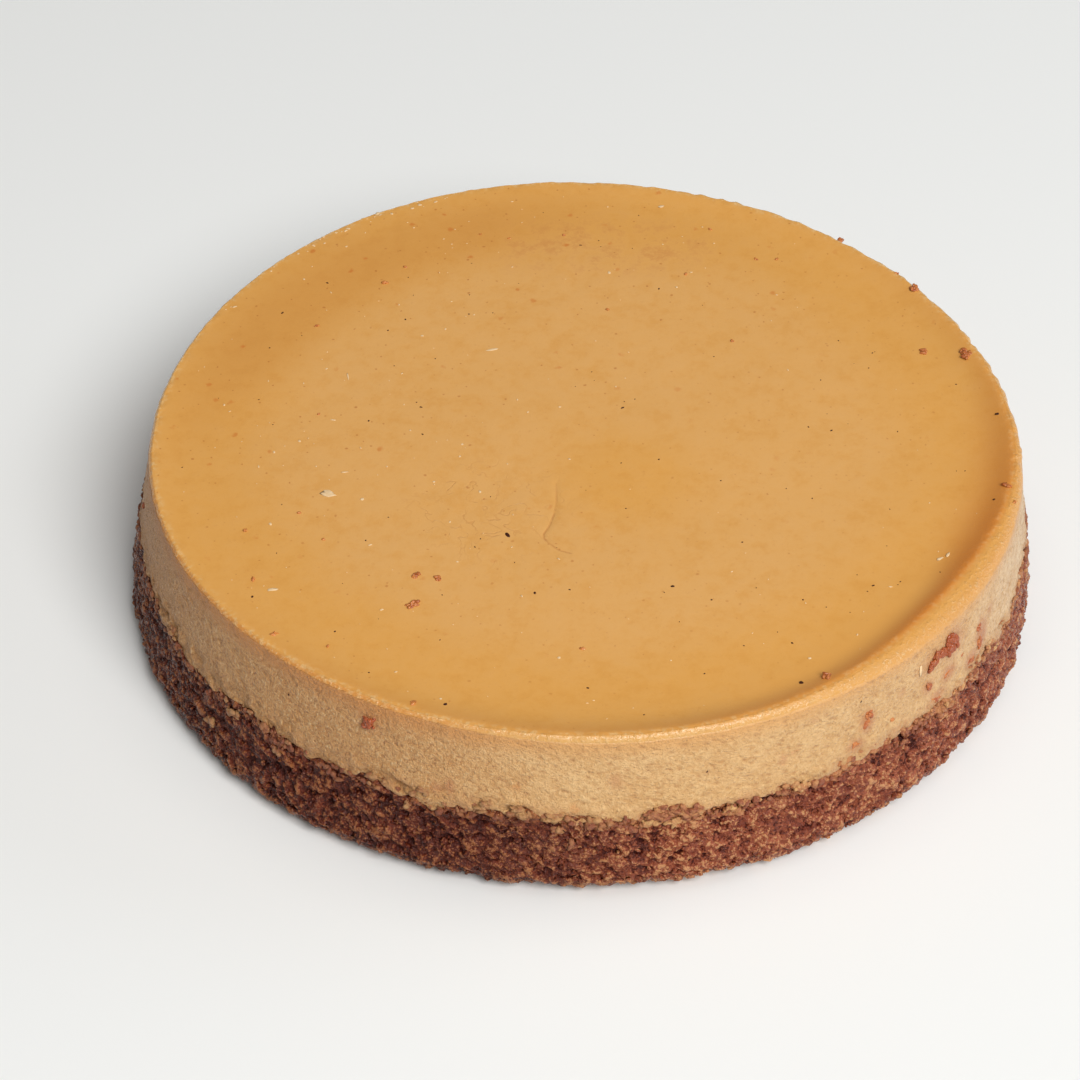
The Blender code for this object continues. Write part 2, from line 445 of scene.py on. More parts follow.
GRAIN_COUNT = 3600
GRAIN_LOW = 1.9              # the lowest grains above the resting surface
GRAIN_SPARED = 1.6           # how much less high than the seam the band of grains is
GRAIN_LEAST = 0.30           # half widths of the smallest and of the largest
GRAIN_MOST = 0.95
GRAIN_DEEPEST = -0.60        # their middles, in or out from the side
GRAIN_PROUDEST = 0.05


def ball_grid(around, count):
    """Unit ball: rings at (sin(down) cos(turn), sin(down) sin(turn), cos(down)) and two poles."""
    turn = np.linspace(0.0, 2.0 * math.pi, around, endpoint=False)[None, :]
    drop = np.linspace(0.0, math.pi, count + 2)[1:-1, None]
    return grid_points(rings_of(np.sin(drop), np.cos(drop), turn), 1.0, -1.0), grid_faces(count, around)


def axes_at(normals, turns):
    """Three unit axes for each place: two across the surface, turned by an angle, and the normal."""
    upright = np.abs(normals[:, 2:3]) < 0.9
    guide = np.where(upright, [0.0, 0.0, 1.0], [1.0, 0.0, 0.0])
    across = np.cross(guide, normals)
    across = across / np.linalg.norm(across, axis=1, keepdims=True)
    along = np.cross(normals, across)
    cos, sin = np.cos(turns)[:, None], np.sin(turns)[:, None]
    return np.stack([across * cos + along * sin, along * cos - across * sin, normals], axis=1)


def lumpy_balls(name, centres, axes, sizes, unevenness, around, count, salt):
    """One mesh of balls. Each point is the centre plus each axis times its size times the unit
    ball's direction, all stretched by 1 + unevenness * a smooth random field of the direction."""
    ball, faces = ball_grid(around, count)
    number = np.arange(len(centres))[:, None, None] * np.array([3.7, 5.3, 7.1])
    stretch = 1.0 + unevenness * swell(ball[None] + number, 0.9, salt)
    shape = ball[None] * stretch[..., None] * sizes[:, None, :]
    points = centres[:, None, :] + np.einsum("nva,nac->nvc", shape, axes)
    first = np.arange(len(centres))[:, None, None] * len(ball)
    return mesh_piece(name, points.reshape(-1, 3), (first + faces[None]).reshape(-1, 3))


def cake_side(angle, height, out):
    """Point and outward normal on the cake's side: the tin's sloping wall, and below the belly's
    widest ring a circle's arc. The point is moved along the normal by a distance."""
    below = np.maximum(BELLY_HEIGHT - height, 0.0)
    turn = np.where(below > 0.0, -np.arcsin(np.minimum(below / BELLY_ROUNDING, 0.97)), wall_tilt)
    drawn_in = BELLY_ROUNDING * (1.0 - np.cos(np.minimum(turn, 0.0)))
    normal = rings_of(np.cos(turn), np.sin(turn), angle)
    radius = side_radius(np.maximum(height, BELLY_HEIGHT), angle) - drawn_in
    return rings_of(radius, height, angle) + normal * np.reshape(out, (-1, 1)), normal


rng = np.random.default_rng(41)
angle = rng.uniform(0.0, 2.0 * math.pi, GRAIN_COUNT)
height = GRAIN_LOW + (seam_height(1.0, angle) - GRAIN_SPARED) * rng.random(GRAIN_COUNT)
size = GRAIN_LEAST + (GRAIN_MOST - GRAIN_LEAST) * rng.random(GRAIN_COUNT) ** 2.5
centres, normals = cake_side(angle, height, rng.uniform(GRAIN_DEEPEST, GRAIN_PROUDEST, GRAIN_COUNT))
sizes = size[:, None] * rng.uniform(0.55, 1.45, (GRAIN_COUNT, 3)) * [1.0, 1.0, 0.8]
axes = axes_at(normals, rng.uniform(0.0, math.pi, GRAIN_COUNT))
grains = lumpy_balls("sponge_grains", centres, axes, sizes, 0.6, 6, 3, 50)
paint(grains, "raised", rng.uniform(-0.1, 0.45, GRAIN_COUNT))
paint(grains, "tone", rng.random(GRAIN_COUNT))
paint(grains, "mingled", 0.8 * eased(seam_height(1.0, angle) - height, 3.0, 0.5))
grains.data.materials.append(sponge_material)
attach(grains, "root")


# --- Caramel flan ------------------------------------------------------------------------------
# The upper layer is a baked caramel custard. The tin's floor gave it a smooth, satin skin, dished
# inside a raised rim that slumped into a broad roll at one side; its wall left a pale porous side.
# The skin is creased near the middle and chipped at one side, and crumbs have stained the wall.

DISH_DEPTH = 1.5             # mean drop from the rim's crest to the top
DISH_SWING = 1.3             # more on the roll's side, less on the other
SHOULDER_WIDTH = 5.0         # how far in from the crest the dish levels out
SHOULDER_POWER = 1.4
RIM_WIDTH = 1.6              # the tight rounding from the crest to the side
RIM_DROP = 1.6
ROLL_WIDTH = 4.4             # and how much wider and deeper the roll makes it
ROLL_DROP = 1.2
ROLL_MIDDLE = math.radians(325)
ROLL_SPREAD = math.radians(22)
ROLL_SIDE_MIDDLE = math.radians(-28)  # middle of the roll's side, where the slope inside the crest has most painted shade
ROLL_SIDE_SPREAD = math.radians(40)
CHIPPED_TOWARDS = 40         # in degrees, where the rim is chipped
DENT_ANGLE = math.radians(20)
DENT_HALF_LENGTH = 2.2
DENT_DEPTH = 0.9
LIP_ROUNDING = 0.8           # where the side turns in to the seam
LIP_HANG = 0.5               # and how far it hangs over the sponge
CREASE = (
    # East and north of the middle, from the crease's north end.
    (-6.3, -17.3), (-6.2, -23.4), (-6.7, -28.0), (-8.0, -32.8), (-9.3, -35.6), (-9.2, -37.0),
    (-7.6, -39.2), (-5.8, -41.0), (-3.5, -42.0),
)
CREASE_DEPTH = 0.10
CREASE_HALF_WIDTH = 0.75
SIDE_STAINS = (
    # Angle in degrees, height, length round the side and height across it, and strength.
    (306.2, 31.6, 4.2, 6.0, 0.9), (304.3, 26.5, 5.0, 3.6, 0.8), (316.7, 30.0, 4.2, 4.2, 0.8),
    (320.8, 29.2, 6.0, 4.4, 0.9), (328.8, 30.0, 6.0, 9.0, 1.0), (318.2, 25.4, 6.6, 4.0, 0.8),
    (326.0, 26.4, 6.0, 5.0, 0.9), (322.0, 36.4, 9.0, 9.0, 0.7), (317.5, 36.2, 10.0, 6.4, 0.5),
    (253.7, 27.4, 2.4, 4.4, 0.7), (273.5, 32.6, 3.0, 4.4, 0.45), (252.0, 26.4, 3.6, 3.4, 0.5),
    (294.2, 30.6, 2.0, 3.6, 0.5), (243.0, 38.5, 5.6, 5.6, 0.45), (312.0, 33.8, 2.6, 2.6, 0.4),
    (298.5, 38.4, 2.2, 1.8, 0.4), (331.5, 33.5, 3.4, 3.4, 0.5), (151.0, 27.0, 5.0, 3.4, 0.7),
    (83.0, 29.0, 5.0, 4.0, 0.7), (30.0, 33.0, 4.4, 4.0, 0.7), (118.0, 35.0, 3.4, 4.4, 0.5),
    (187.0, 31.0, 3.0, 3.4, 0.5), (62.0, 27.0, 4.4, 4.0, 0.6), (12.0, 28.0, 4.4, 5.0, 0.6),
)


def way_round(angle, middle):
    """The angle less the middle, brought into -pi to pi by whole turns."""
    return (angle - middle + math.pi) % (2.0 * math.pi) - math.pi


def facing(angle, degrees, low, high):
    """Cosine of the way round from a bearing in degrees, eased from low to high."""
    return eased(np.cos(angle - math.radians(degrees)), low, high)


def rim_width(angle):
    """The tight width, plus the roll's times exp(-t^2), t being the way round over its spread."""
    return RIM_WIDTH + ROLL_WIDTH * bell(way_round(angle, ROLL_MIDDLE) / ROLL_SPREAD)


def rim_drop(angle):
    """The tight drop, plus the roll's in the same way."""
    return RIM_DROP + ROLL_DROP * bell(way_round(angle, ROLL_MIDDLE) / ROLL_SPREAD)


def crest_radius(angle):
    """The side's radius at the height where the rim's rounding starts, less the rounding's width."""
    return side_radius(HEIGHT - rim_drop(angle), angle) - rim_width(angle)


def path_distance(x, y, path):
    """Distance in the plane from each point to the nearest of a path's straight stretches. It is
    below zero on the path's right, so that it crosses zero on the path."""
    nearest = np.full(np.shape(x), np.inf)
    for (x0, y0), (x1, y1) in zip(path, path[1:]):
        dx, dy = x1 - x0, y1 - y0
        share = np.clip(((x - x0) * dx + (y - y0) * dy) / (dx * dx + dy * dy), 0.0, 1.0)
        off_x, off_y = x - x0 - share * dx, y - y0 - share * dy
        distance = np.hypot(off_x, off_y) * np.where(dx * off_y > dy * off_x, 1.0, -1.0)
        nearest = np.where(np.abs(distance) < np.abs(nearest), distance, nearest)
    return nearest


def flan_top(x, y):
    """Height of the flan's top. From the crest it sinks by depth * (1 - exp(-(in / width)^power)),
    deeper towards the roll; beyond the crest it follows the rim's quarter ellipse. Slow swells,
    ripples and one crease are added."""
    angle = np.arctan2(y, x)
    radius = np.hypot(x, y)
    crest = crest_radius(angle)
    share = np.minimum(radius / crest, 1.0)
    sunk = 1.0 - np.exp(-(((1.0 - share) * crest / SHOULDER_WIDTH) ** SHOULDER_POWER))
    depth = DISH_DEPTH + DISH_SWING * share * np.cos(angle - ROLL_MIDDLE)
    past = np.clip((radius - crest) / rim_width(angle), 0.0, 1.0)
    flat = np.stack([x, y, 0.0 * x], axis=-1)
    swells = 0.16 * swell(flat, 26.0, 60) + 0.035 * swell(flat, 7.0, 61)
    near_middle = eased(np.hypot(x + 16, y + 28), 34, 8)
    near_back = eased(np.hypot(x, y - 66), 24, 4)
    ripples = 0.08 * swell(flat, 4.0, 62) * near_middle + 0.07 * swell(flat, 5.0, 63) * near_back
    crease = CREASE_DEPTH * bell(path_distance(x, y, CREASE) / CREASE_HALF_WIDTH)
    relief = (swells + ripples) * sunk - crease
    return HEIGHT - depth * sunk - rim_drop(angle) * (1.0 - np.sqrt(1.0 - past**2)) + relief


FLAN_AROUND = 940
FLAN_SIDE_STEPS = 36
RIM_STEPS = 8
LIP_STEPS = 4
UNDER_SHARES = np.array([0.96, 0.75, 0.4])[:, None]
UNDER_RISE = 0.1             # the hidden underside above the seam
PIT_SIZE = 2.1
CURD_SIZE = 1.7

angles = np.linspace(0.0, 2.0 * math.pi, FLAN_AROUND, endpoint=False)[None, :]
seam = seam_height(1.0, angles)
# Rings of the top, closer together over the crease and the rim: (first share, last share, count).
TOP_BANDS = ((0.03, 0.15, 4), (0.165, 0.43, 22), (0.46, 0.92, 18), (0.93, 1.0, 11))
shares = np.concatenate([np.linspace(*band) for band in TOP_BANDS])[:, None]
top_rings = rings_of(shares * crest_radius(angles), 0.0, angles)
top_rings[..., 2] = flan_top(top_rings[..., 0], top_rings[..., 1])
turns = np.linspace(math.pi / 2.0, wall_tilt, RIM_STEPS + 1)[1:, None]
rim_radii = crest_radius(angles) + rim_width(angles) * np.cos(turns)
rim_rings = rings_of(rim_radii, HEIGHT - rim_drop(angles) * (1.0 - np.sin(turns)), angles)
round_side = rings_of(BELLY_RADIUS, 0.0, angles)
ragged = 0.9 * swell(round_side, 5.0, 70) + 0.7 * swell(round_side, 1.9, 71)
lip = seam + LIP_ROUNDING - LIP_HANG + ragged
down = np.linspace(0.0, 1.0, FLAN_SIDE_STEPS + 1)[1:, None]
rim_foot = HEIGHT - rim_drop(angles) * (1.0 - math.sin(wall_tilt))
side_heights = rim_foot + (lip - rim_foot) * down
side_rings = rings_of(side_radius(side_heights, angles), side_heights, angles)
turns = np.linspace(wall_tilt, -math.pi / 2.0, LIP_STEPS + 1)[1:, None]
lip_radii = side_radius(lip, angles) - LIP_ROUNDING + LIP_ROUNDING * np.cos(turns)
lip_rings = rings_of(lip_radii, lip + LIP_ROUNDING * np.sin(turns), angles)
under_heights = seam_height(UNDER_SHARES, angles) + UNDER_RISE
under_rings = rings_of(UNDER_SHARES * side_radius(lip, angles), under_heights, angles)
rings = np.concatenate([top_rings, rim_rings, side_rings, lip_rings, under_rings])

top_centre = float(flan_top(np.array(0.0), np.array(0.0)))
points = grid_points(rings, top_centre, SEAM_HEIGHT + UNDER_RISE)
normals = grid_normals(rings)
faces = grid_faces(*rings.shape[:2])
angle = np.arctan2(points[:, 1], points[:, 0])
in_from_crest = crest_radius(angle) - np.hypot(points[:, 0], points[:, 1])
outer = eased(-in_from_crest, 0.0, rim_width(angle))
above_seam = points[:, 2] - seam_height(1.0, angle)

# Relief of the side: swells and grain all over, curds and pits below the rim, and torn,
# cracked custard along the seam, more of it at the front left.
near_seam = eased(above_seam, 4.0 + 3.5 * facing(angle, 222, 0.6, 0.95), 0.5)
from_rim = eased(HEIGHT - points[:, 2], 1.0, 3.0)
flattened = points * np.array([1.0, 1.0, 1.7])
pit_distance, pit_tone = crumb_cells(flattened, PIT_SIZE, 80)
pits = eased(pit_distance, 0.45, 0.12) * (pit_tone > 0.45)
curds = 1.0 - np.minimum(crumb_cells(flattened, CURD_SIZE, 90)[0], 1.0) ** 2
level_swells = swell(points * [1.0, 1.0, 3.2], 5.5, 75)
cracks = eased(level_swells + 0.5 * swell(flattened, 1.8, 76), 0.25, 0.75)
relief = outer * (
    0.13 * swell(points, 11.0, 72)
    + 0.09 * swell(points, 3.0, 73)
    + 0.08 * swell(points, 1.6, 77)
    + from_rim * (0.12 * (curds - 0.6) - 0.20 * pits)
    + near_seam * (0.6 * swell(flattened, 2.6, 74) + 0.5 * (curds - 0.5) + 0.15 - 0.9 * cracks)
)
relief = relief * (above_seam > -1.2)

# The rim: pebbled just outside the crest, chipped on one side, with one dent.
pebbled = bell((in_from_crest + 0.5) / 1.1) * (points[:, 2] > 38.0)
chipped = facing(angle, CHIPPED_TOWARDS, 0.45, 0.85) * outer * (0.5 + 0.5 * swell(points, 12.0, 78))
dent = bell((angle - DENT_ANGLE) * RIM_RADIUS / DENT_HALF_LENGTH) * outer
relief = relief + 0.17 * pebbled * swell(points, 1.8, 85)
relief = relief + chipped * (0.66 * swell(points, 1.8, 79) + 0.2) * (1.0 - near_seam)
relief = relief - DENT_DEPTH * dent * eased(points[:, 2], HEIGHT - 7.0, HEIGHT - 2.0)

# What only the colours follow: painted shade on the slope inside the crest, painted light on
# the hollow that faces the lamp, the crease, and the stains.
NARROW = math.cos(math.radians(26))  # the ends of a narrow stretch of the way round
roll_side = bell(way_round(angle, ROLL_SIDE_MIDDLE) / ROLL_SIDE_SPREAD)
fade = 3.2 + 4.5 * facing(angle, 350, NARROW, 1.0)
slope = bell((in_from_crest - 0.3) / np.where(in_from_crest > 0.3, fade, 1.3))
from_crease = path_distance(points[:, 0], points[:, 1], CREASE)
creased = bell(from_crease / 1.5) * (points[:, 2] > 30.0)
stain = np.zeros(len(points))
for turn, high, long, wide, strength in SIDE_STAINS:
    off_round = way_round(angle, math.radians(turn)) * RIM_RADIUS / (long / 2.0)
    off_up = (points[:, 2] - high) / (wide / 2.0)
    stain = np.maximum(stain, strength * np.exp(-((off_round**2 + off_up**2) ** 1.5)) * outer)

flan = mesh_piece("flan_layer", points + normals * relief[:, None], faces)
# crumbled: the side's pits and cracks, painted dark in the material as shade
crumbled = 0.8 * pits + near_seam * (0.7 * cracks + 0.3 - 0.5 * curds)
paint(flan, "pit", np.clip(outer * from_rim * crumbled, 0.0, 1.0))
paint(flan, "outer", outer)
# painted shade: the slope inside the crest is painted darker and redder, most on the roll's side
paint(flan, "slope", slope * (0.16 * facing(angle, 285, 0.2, 0.8) + 0.84 * roll_side))
paint(flan, "roll_side", roll_side)
paint(flan, "pebbled", pebbled)
# painted light: the hollow inside the crest that faces the lamp is painted lighter
paint(flan, "hollow", facing(angle, 310, NARROW, 1.0) * bell((in_from_crest - 5.5) / 4.0))
paint(flan, "creased", creased * (0.60 + 0.40 * eased(-points[:, 1], 19.0, 30.0)))
paint(flan, "from_crease", np.clip(from_crease, -4.0, 4.0))
paint(flan, "stain", stain)
paint(flan, "seam", near_seam * outer)

SKIN_COLOUR = (0.702, 0.338, 0.072)
PALE_SKIN_COLOUR = (0.713, 0.374, 0.115)
DARK_SKIN_COLOUR = (0.640, 0.290, 0.060)
SMUDGE_COLOUR = (0.520, 0.180, 0.035)
SLOPE_SHADE_COLOUR = (0.640, 0.218, 0.030)
RIM_COLOUR = (0.645, 0.366, 0.122)
RIM_ROLL_COLOUR = (0.610, 0.288, 0.074)
RIM_PIP_HIGHLIGHT_COLOUR = (0.770, 0.520, 0.240)
PAINTED_LIGHT_HOLLOW_COLOUR = (0.780, 0.372, 0.082)
SHADED_LEFT_RIM_COLOUR = (0.610, 0.245, 0.058)
STAIN_COLOUR = (0.460, 0.155, 0.055)
SIDE_COLOUR = (0.740, 0.466, 0.206)
SIDE_BLOTCH_AND_SHADE_COLOUR = (0.590, 0.318, 0.112)
SIDE_GRAIN_HIGHLIGHT_COLOUR = (0.780, 0.540, 0.275)
SIDE_PIT_SHADE_COLOUR = (0.400, 0.170, 0.050)
SIDE_TOP_COLOUR = (0.670, 0.335, 0.105)
SHADED_LEFT_SIDE_COLOUR = (0.545, 0.188, 0.016)
SHEEN_PAINTED_RIGHT_COLOUR = (0.775, 0.575, 0.355)
SEAM_COLOUR = (0.560, 0.270, 0.105)
FRECKLE_AND_GROOVE_SHADE_COLOUR = (0.420, 0.122, 0.018)
AMBER_COLOUR = (0.570, 0.165, 0.022)
ORANGE_COLOUR = (0.62, 0.25, 0.07)


def freckles(place, size, share, edge, heart):
    """Round spots in a share of the cells of a pattern, solid within a heart radius and faded out
    at an edge radius, both in cell sizes."""
    chosen = place.cells(size, 1).axis(1).rise(share + 0.01, share)
    return place.cells(size).rise(edge, heart) * chosen


def apart(x, y, east, north):
    """Distance in the plane from a place."""
    return ((x - east) ** 2 + (y - north) ** 2) ** 0.5


sheen = {"Sheen Weight": 0.18, "Sheen Roughness": 0.30, "Sheen Tint": (1.0, 0.92, 0.84, 1.0)}
flan_material, shader, place = new_material("caramel_flan", sheen)
x, y, z = place.axis(0), place.axis(1), place.axis(2)
radius = (x * x + y * y) ** 0.5
cloud = place.noise(24.0, 3.0, 0.55)
mottle = place.noise(5.0, 6.0, 0.72)
grain = place.noise(1.0, 3.0, 0.65)
sandy = place.stretch(1.0, 1.0, 1.25).noise(1.15, 3.0, 0.68)
outer = place.stored("outer")
roll_side = place.stored("roll_side")
left = left_side(x, y, 0.62, 0.98)

# The skin: paler in a ring round the middle, darker in an arc at the back left, with fine curled
# lines and the crease near the middle drawn darker, partly as painted shade in their grooves,
# smudges at the back, freckles and amber spots.
ring = apart(x, y, 10, -15).rise(6, 26) * radius.rise(88, 64)
arc = ((y - x) * math.sqrt(0.5)).rise(52, 84) * radius.rise(66, 84)
arc = arc * radius.rise(106, 90) * (0.45 + cloud * 0.7)
curls = place.warped(9.0, 9.0).noise(8.0, 2.0, 0.6) - 0.5
curl_zone = (apart(x, y, -22, -27) + cloud * 16.0).rise(34, 18)
# curl lines: grooves in the bump, drawn darker, partly as painted shade
curl_lines = (curls * curls).rise(0.00025, 0.0) * mottle.rise(0.40, 0.56) * curl_zone
smudge_zone = (((x - 5) * 0.38) ** 2 + (y - 77) ** 2) ** 0.5
smudges = smudge_zone.rise(17, 6) * place.noise(5.0, 5.0, 0.78).rise(0.46, 0.66)
uneven = place.warped(1.3, 0.7)
specks = freckles(uneven, 2.3, 0.45, 0.15, 0.06) + freckles(uneven, 5.0, 0.50, 0.10, 0.04)
specks = specks * 0.60 * ((y * 0.0036 - x * 0.0030 + cloud * 1.2).rise(-0.05, 0.9) * 0.75 + 0.25)
amber = freckles(place.warped(1.6, 2.0), 6.5, 0.52, 0.16, 0.05)
amber = amber * ((y - x) * 0.003 + cloud).rise(0.1, 1.0)
from_crease = place.stored("from_crease")
# the crease: a groove drawn darker, partly as painted shade
crease_line = (from_crease * from_crease).rise(0.14, 0.0) * place.stored("creased").rise(0.45, 0.85)
crease_line = crease_line * mottle.rise(0.34, 0.58)
# pips: small bumps of the rim, whose tops are also painted pale as highlights
pips = place.noise(0.8, 2.0, 0.5).rise(0.50, 0.76)
# painted shade on the rim's front left, away from the lamp
rim = layered(RIM_COLOUR, (roll_side, RIM_ROLL_COLOUR), (left, SHADED_LEFT_RIM_COLOUR), (pips * 0.5, RIM_PIP_HIGHLIGHT_COLOUR))
on_rim = (outer - roll_side * 0.15).rise(0.05, 0.7) * (0.40 + grain * 0.8)
pebbles = place.stored("pebbled") * (1.0 - roll_side * 0.6) * sandy.rise(0.46, 0.66)
skin = layered(
    SKIN_COLOUR,
    (ring * 0.65 + cloud * 0.5 + mottle * 1.1 - 0.62, PALE_SKIN_COLOUR),
    (arc + mottle.rise(0.54, 0.28) * 0.42, DARK_SKIN_COLOUR),
    (curl_lines * 0.20, FRECKLE_AND_GROOVE_SHADE_COLOUR),
    (smudges * 0.40, SMUDGE_COLOUR),
    (specks + grain.rise(0.58, 0.80) * 0.20, FRECKLE_AND_GROOVE_SHADE_COLOUR),
    (amber * 0.75, AMBER_COLOUR),
    (crease_line * 0.40, FRECKLE_AND_GROOVE_SHADE_COLOUR),
    # painted light on the hollow that faces the lamp
    (place.stored("hollow") * 0.9, PAINTED_LIGHT_HOLLOW_COLOUR),
    (on_rim, rim),
    # painted shade on the slope inside the crest
    (place.stored("slope") * (0.70 + cloud * 0.6), SLOPE_SHADE_COLOUR),
    # painted highlight on the pebbles just outside the crest
    (pebbles * 0.60, RIM_PIP_HIGHLIGHT_COLOUR),
)

# The side: sandy and porous, with painted shade in its pits and low grains and painted highlight
# on its high grains; painted shade on the left and a painted sheen on the right; caramel-coloured
# under the rim and stained by crumbs; brown where it meets the sponge.
right = (x / radius).rise(0.76, 1.02) * (y / radius).rise(0.50, 0.05)
lamp_side = ((x * 0.57 - y * 0.82) / radius).rise(0.86, 1.0)
broad = place.noise(7.0, 3.0, 0.6)
sand = place.noise(0.75, 3.0, 0.75)
near_seam = place.stored("seam")
rough_side = left * 0.64 + (x / radius).rise(0.30, 0.60) * 0.22
pores = place.warped(1.2, 0.5).cells(0.95).rise(0.34, 0.10)
stains = place.warped(3.0, 3.0).cells(13.0).rise(0.15, 0.05) * sandy.rise(0.35, 0.6)
side = layered(
    SIDE_COLOUR,
    # painted sheen: the side's right, seen at a grazing angle, painted paler
    (right, SHEEN_PAINTED_RIGHT_COLOUR),
    ((sandy * 0.9 + broad * 0.5).rise(0.90, 0.46), SIDE_BLOTCH_AND_SHADE_COLOUR),
    # painted shade: the side's front left, away from the lamp, darker and redder
    (left * 0.46, SHADED_LEFT_SIDE_COLOUR),
    ((x / radius).rise(-0.80, -1.0) * 0.30, SHADED_LEFT_SIDE_COLOUR),
    # painted shade: the side that faces the lamp is darkened a little
    (lamp_side * 0.12, SIDE_BLOTCH_AND_SHADE_COLOUR),
    # painted shade in the low grains and painted highlight on the high ones, following the bump
    (sand.rise(0.50, 0.30) * (0.34 + rough_side * 1.4 + near_seam * 0.40), SIDE_PIT_SHADE_COLOUR),
    (sand.rise(0.52, 0.70) * (0.20 + rough_side * 1.1), SIDE_GRAIN_HIGHLIGHT_COLOUR),
    # caramel-coloured under the rim, in painted shade on the left
    (z.rise(37.5, 43.2) * (0.25 + sandy * 1.2), left.colours(SIDE_TOP_COLOUR, SHADED_LEFT_RIM_COLOUR)),
    # painted shade in the pits, pores and cracks
    (place.stored("pit") * 0.8 + pores * 0.18, SIDE_PIT_SHADE_COLOUR),
    (place.stored("stain") * (0.25 + sandy * 1.1), STAIN_COLOUR),
    (stains * 0.6, ORANGE_COLOUR),
    (near_seam * broad.rise(0.40, 0.60) * sandy.rise(0.3, 0.6) * 0.85, SEAM_COLOUR),
)

# The skin passes into the side along an uneven edge just below the crest.
edge = z + sandy * 0.7 - left * 0.8
blend = (43.45 + roll_side * 0.3 - edge) / (0.35 + roll_side * 1.1)
on_side = blend.rise(0.0, 1.0) * outer.rise(0.35, 0.65)
on_side.colours(skin, side).into(shader, "Base Color")
crest = outer.rise(0.0, 0.4)
gloss = 0.28 + 0.14 * grain + on_side * 0.14 - crest * (1.0 - on_side) * 0.10
gloss.into(shader, "Roughness")
side_height = sandy * 0.48 + place.noise(0.5, 2.0, 0.6) * 0.32 - pores * 0.09
side_height = side_height + sand * (0.22 + rough_side * 1.10 + near_seam * 0.40)
beads = sandy * 0.22 + grain * 0.10 + pips * 0.11
skin_height = mottle * 0.09 + grain * 0.018 + (crest + place.stored("slope") * 0.3) * beads
skin_height = skin_height - curl_lines * 0.045 - crease_line * 0.05
(on_side * side_height + (1.0 - on_side) * skin_height).bump(shader)
flan.data.materials.append(flan_material)
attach(flan, "root")
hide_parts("flan")


# --- Torn bits along the seam ------------------------------------------------------------------
# Where the two batters met in the oven they baked into each other. Lumps of that mixture, from
# custard to brown, stand along the seam, and a few bits of custard are stuck in the sponge.

SEAM_BIT_COUNT = 1000
LUMPS_TO_AREA = 1.25         # lumps for each square millimetre of a bit
BIT_THICKNESS = 0.7          # as a share of a lump's mean width
CUSTARD_BITS = (
    # Angle in degrees, height, length and width, and how brown from 0 to 1.
    (206.8, 24.0, 5.0, 3.4, 0.30), (217.9, 12.8, 3.6, 3.0, 0.15), (221.8, 20.3, 4.6, 3.0, 0.25),
    (230.0, 19.0, 3.4, 2.6, 0.35), (243.9, 24.5, 3.0, 2.0, 0.25), (248.4, 19.5, 2.2, 2.2, 0.35),
    (266.9, 19.5, 3.0, 2.4, 0.45), (279.0, 23.3, 11.0, 4.6, 0.72), (282.8, 22.8, 8.0, 4.2, 0.70),
    (277.4, 20.8, 5.0, 2.6, 0.25), (280.6, 20.6, 6.0, 1.8, 0.20), (268.3, 15.5, 1.4, 3.6, 0.60),
    (258.0, 24.0, 6.0, 2.6, 0.12), (262.5, 23.4, 7.0, 3.0, 0.14), (266.2, 22.6, 6.0, 2.8, 0.20),
    (250.5, 24.8, 4.0, 2.2, 0.20), (271.0, 22.0, 5.0, 2.4, 0.35), (296.6, 21.7, 5.0, 3.0, 0.30),
    (288.0, 20.4, 3.0, 2.0, 0.40), (12.0, 21.0, 5.0, 3.0, 0.35), (58.0, 17.0, 3.5, 2.6, 0.25),
    (101.0, 22.0, 7.0, 3.6, 0.50), (139.0, 15.0, 3.2, 2.4, 0.30), (166.0, 20.0, 4.2, 2.8, 0.40),
    (349.0, 18.0, 3.4, 2.4, 0.35),
)
CUSTARD_COLOUR = (0.70, 0.40, 0.155)
BAKED_COLOUR = (0.50, 0.205, 0.078)
BROWN_COLOUR = (0.30, 0.085, 0.036)
SHADED_LEFT_BROWN_COLOUR = (0.16, 0.045, 0.018)


def clusters(centres, normals, turns, lengths, widths, counts, thickness, rng):
    """Lumps gathered into clusters: which cluster each is in, its centre, its axes and its three
    sizes. A lump lies off its cluster's centre by a normally distributed share of the length and
    of the width; its sizes are the cluster's over the square root of the number of lumps, and its
    thickness is a share of the mean of the two."""
    owner = np.repeat(np.arange(len(centres)), counts)
    frames = axes_at(normals, turns)[owner]
    spans = np.stack([lengths, widths], axis=-1)[owner]
    shift = np.clip(rng.normal(0.0, 0.36, spans.shape), -0.75, 0.75) * spans / 2.0
    share = rng.uniform(0.55, 1.05, (len(owner), 1)) / np.sqrt(counts[owner, None] + 1.0)
    flat = spans * share * rng.uniform(0.75, 1.25, spans.shape)
    thick = np.sqrt(flat[:, :1] * flat[:, 1:]) * thickness[owner, None]
    lift = thick * rng.uniform(-0.3, 0.9, (len(owner), 1)) * frames[:, 2]
    places = centres[owner] + frames[:, 0] * shift[:, :1] + frames[:, 1] * shift[:, 1:] + lift
    axes = axes_at(normals[owner], turns[owner] + rng.normal(0.0, 0.6, len(owner)))
    return owner, places, axes, np.hstack([flat, thick])


